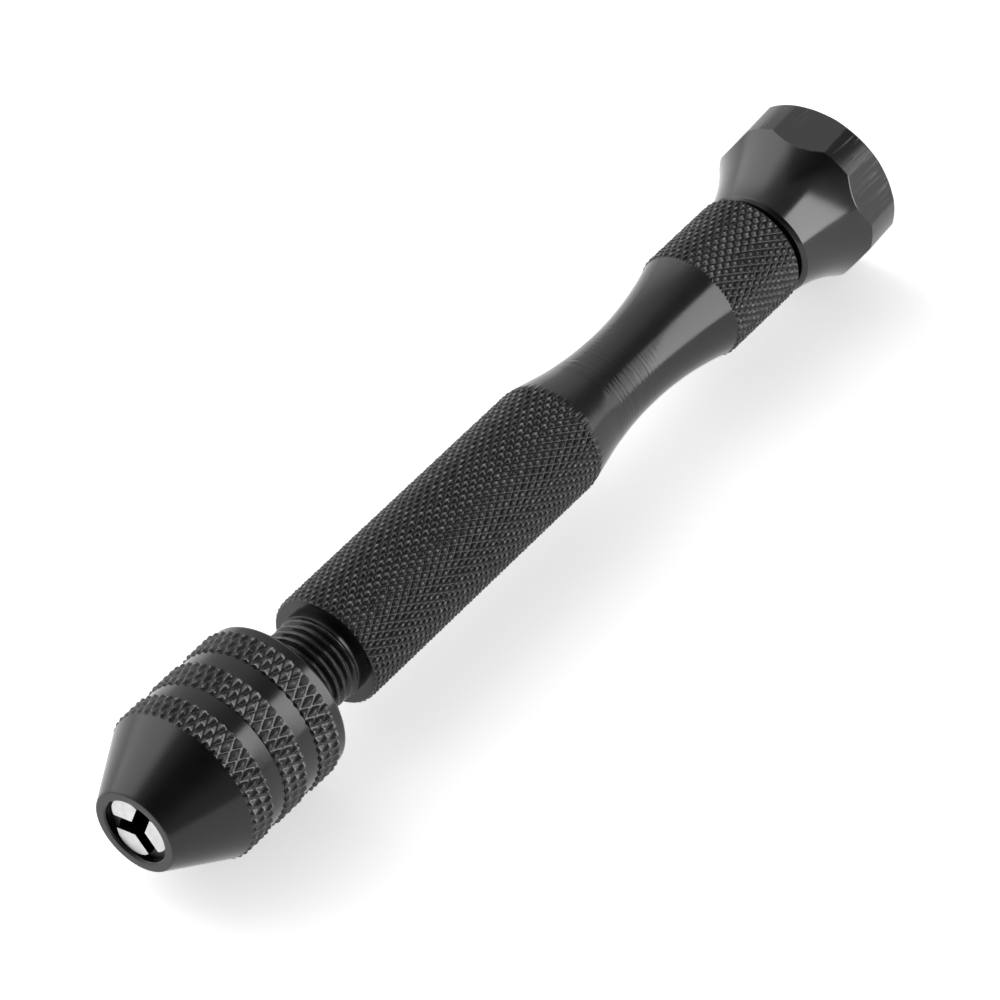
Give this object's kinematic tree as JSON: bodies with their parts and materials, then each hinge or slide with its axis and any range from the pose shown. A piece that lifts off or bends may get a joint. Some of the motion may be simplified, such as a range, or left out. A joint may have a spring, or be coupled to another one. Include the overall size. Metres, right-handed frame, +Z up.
{
  "type": "hand drill",
  "caption": "Slim all-metal hand drill: knurled turned handle, free-swivelling palm cap and a small three-jaw keyless chuck screwed on a threaded spigot.",
  "frame": {"origin": "on the surface that the tool lies on, straight below the middle of the handle's axis, halfway between the nose face and the rear of the cap", "axes": "+Y runs along the tool's axis from the nose to the cap, +Z is up from the surface, +X is to the side"},
  "size_m": [0.0197, 0.1191, 0.0185],
  "materials": {
    "black_oxide_handle": "semi-gloss black oxide, knurled and turned",
    "black_oxide_sleeve": "semi-gloss black oxide with worn knurl edges",
    "black_oxide_cap": "semi-gloss black oxide, lightly scratched",
    "dark_steel": "phosphated, oiled",
    "ground_steel": "ground, satin",
    "bearing_steel": "polished",
    "spring_steel": "blued spring steel",
    "washer_steel": "zinc plated",
    "screw_steel": "black oxide",
    "cage_brass": "stamped"
  },
  "bodies": {
    "handle": {"handle": "black_oxide_handle", "pivot_screw": "screw_steel", "thrust_washer": "washer_steel"},
    "chuck_carrier": {"race_rear": "bearing_steel"},
    "chuck": {"chuck_body": "dark_steel", "rear_sleeve": "black_oxide_sleeve", "snap_ring": "spring_steel"},
    "sleeve": {"front_sleeve": "black_oxide_sleeve", "nut_half_1": "dark_steel", "nut_half_2": "dark_steel", "nut_ring": "dark_steel", "race_front": "bearing_steel"},
    "ball_set": {"bearing_balls": "bearing_steel", "ball_cage": "cage_brass"},
    "jaw_1": {"jaw_1": "ground_steel"},
    "jaw_2": {"jaw_2": "ground_steel"},
    "jaw_3": {"jaw_3": "ground_steel"},
    "cap_rocker": {"head_washer": "washer_steel"},
    "cap": {"swivel_cap": "black_oxide_cap"}
  },
  "joints": [
    {"name": "chuck_slide", "type": "slide", "parent": "handle", "child": "chuck_carrier", "axis": [0, -1, 0], "range_m": [0, 0.005]},
    {"name": "chuck_turn", "type": "hinge", "parent": "chuck_carrier", "child": "chuck", "pos_m": [0, -0.045, 0.00925], "axis": [0, -1, 0], "range_deg": [0, 1800.1]},
    {"name": "sleeve_turn", "type": "hinge", "parent": "chuck", "child": "sleeve", "pos_m": [0, -0.05, 0.00925], "axis": [0, -1, 0], "range_deg": [-1080.1, 1440.1]},
    {"name": "ball_set_turn", "type": "hinge", "parent": "chuck", "child": "ball_set", "pos_m": [0, -0.05, 0.00925], "axis": [0, -1, 0], "range_deg": [-540.1, 720.1]},
    {"name": "jaw_1_slide", "type": "slide", "parent": "chuck", "child": "jaw_1", "axis": [0.0625, -0.9781, 0.1983], "range_m": [-0.003, 0.004]},
    {"name": "jaw_2_slide", "type": "slide", "parent": "chuck", "child": "jaw_2", "axis": [0.1405, -0.9781, -0.1533], "range_m": [-0.003, 0.004]},
    {"name": "jaw_3_slide", "type": "slide", "parent": "chuck", "child": "jaw_3", "axis": [-0.203, -0.9781, -0.045], "range_m": [-0.003, 0.004]},
    {"name": "cap_rock", "type": "hinge", "parent": "handle", "child": "cap_rocker", "pos_m": [0, 0.04975, 0.00925], "axis": [0, 0, 1], "range_deg": [-7.6, 0]},
    {"name": "cap_spin", "type": "hinge", "parent": "cap_rocker", "child": "cap", "pos_m": [0, 0.04975, 0.00925], "axis": [-0.0663, 0.9978, 0], "continuous": true}
  ],
  "couplings": [
    {"joint": "chuck_turn", "follows": "chuck_slide", "rad_per_m": 6283.2},
    {"joint": "sleeve_turn", "follows": "jaw_1_slide", "rad_per_m": 6283.2},
    {"joint": "ball_set_turn", "follows": "jaw_1_slide", "rad_per_m": 3141.6},
    {"joint": "jaw_2_slide", "follows": "jaw_1_slide", "ratio": 1},
    {"joint": "jaw_3_slide", "follows": "jaw_1_slide", "ratio": 1}
  ]
}
